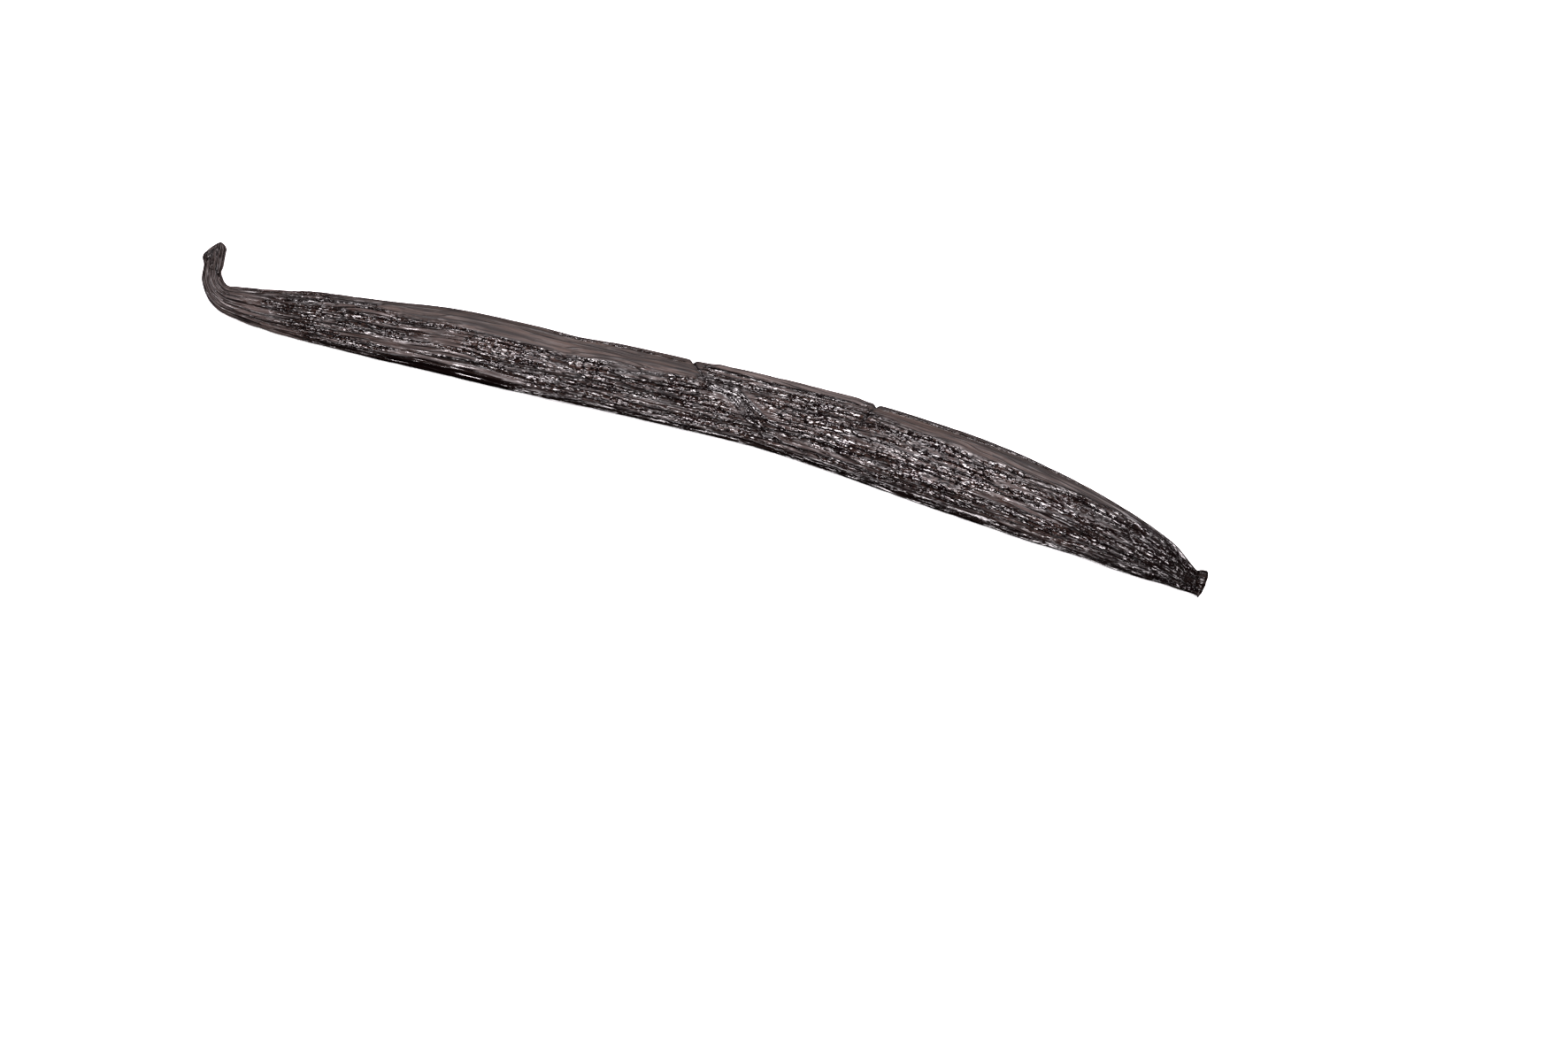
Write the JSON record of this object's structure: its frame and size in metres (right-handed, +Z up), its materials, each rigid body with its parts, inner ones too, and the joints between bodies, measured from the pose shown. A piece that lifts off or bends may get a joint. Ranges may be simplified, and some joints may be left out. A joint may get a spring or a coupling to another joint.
{
  "type": "vanilla pod",
  "caption": "Cured vanilla pod, long, flattened and furrowed, with a crooked stalk, a swollen scar and a blunt rimmed end.",
  "frame": {"origin": "middle of the pod's bounding box, on the surface that it lies on", "axes": "+X from the stalk towards the blossom end, +Y the side that the stalk crooks towards, +Z up"},
  "size_m": [0.1554, 0.016, 0.0059],
  "materials": {
    "pod_skin": "cured plant skin: near-black brown, wrinkled from end to end, oily in the furrowed parts and duller on the taut band"
  },
  "bodies": {
    "root": {"vanilla_pod": "pod_skin"}
  },
  "joints": []
}
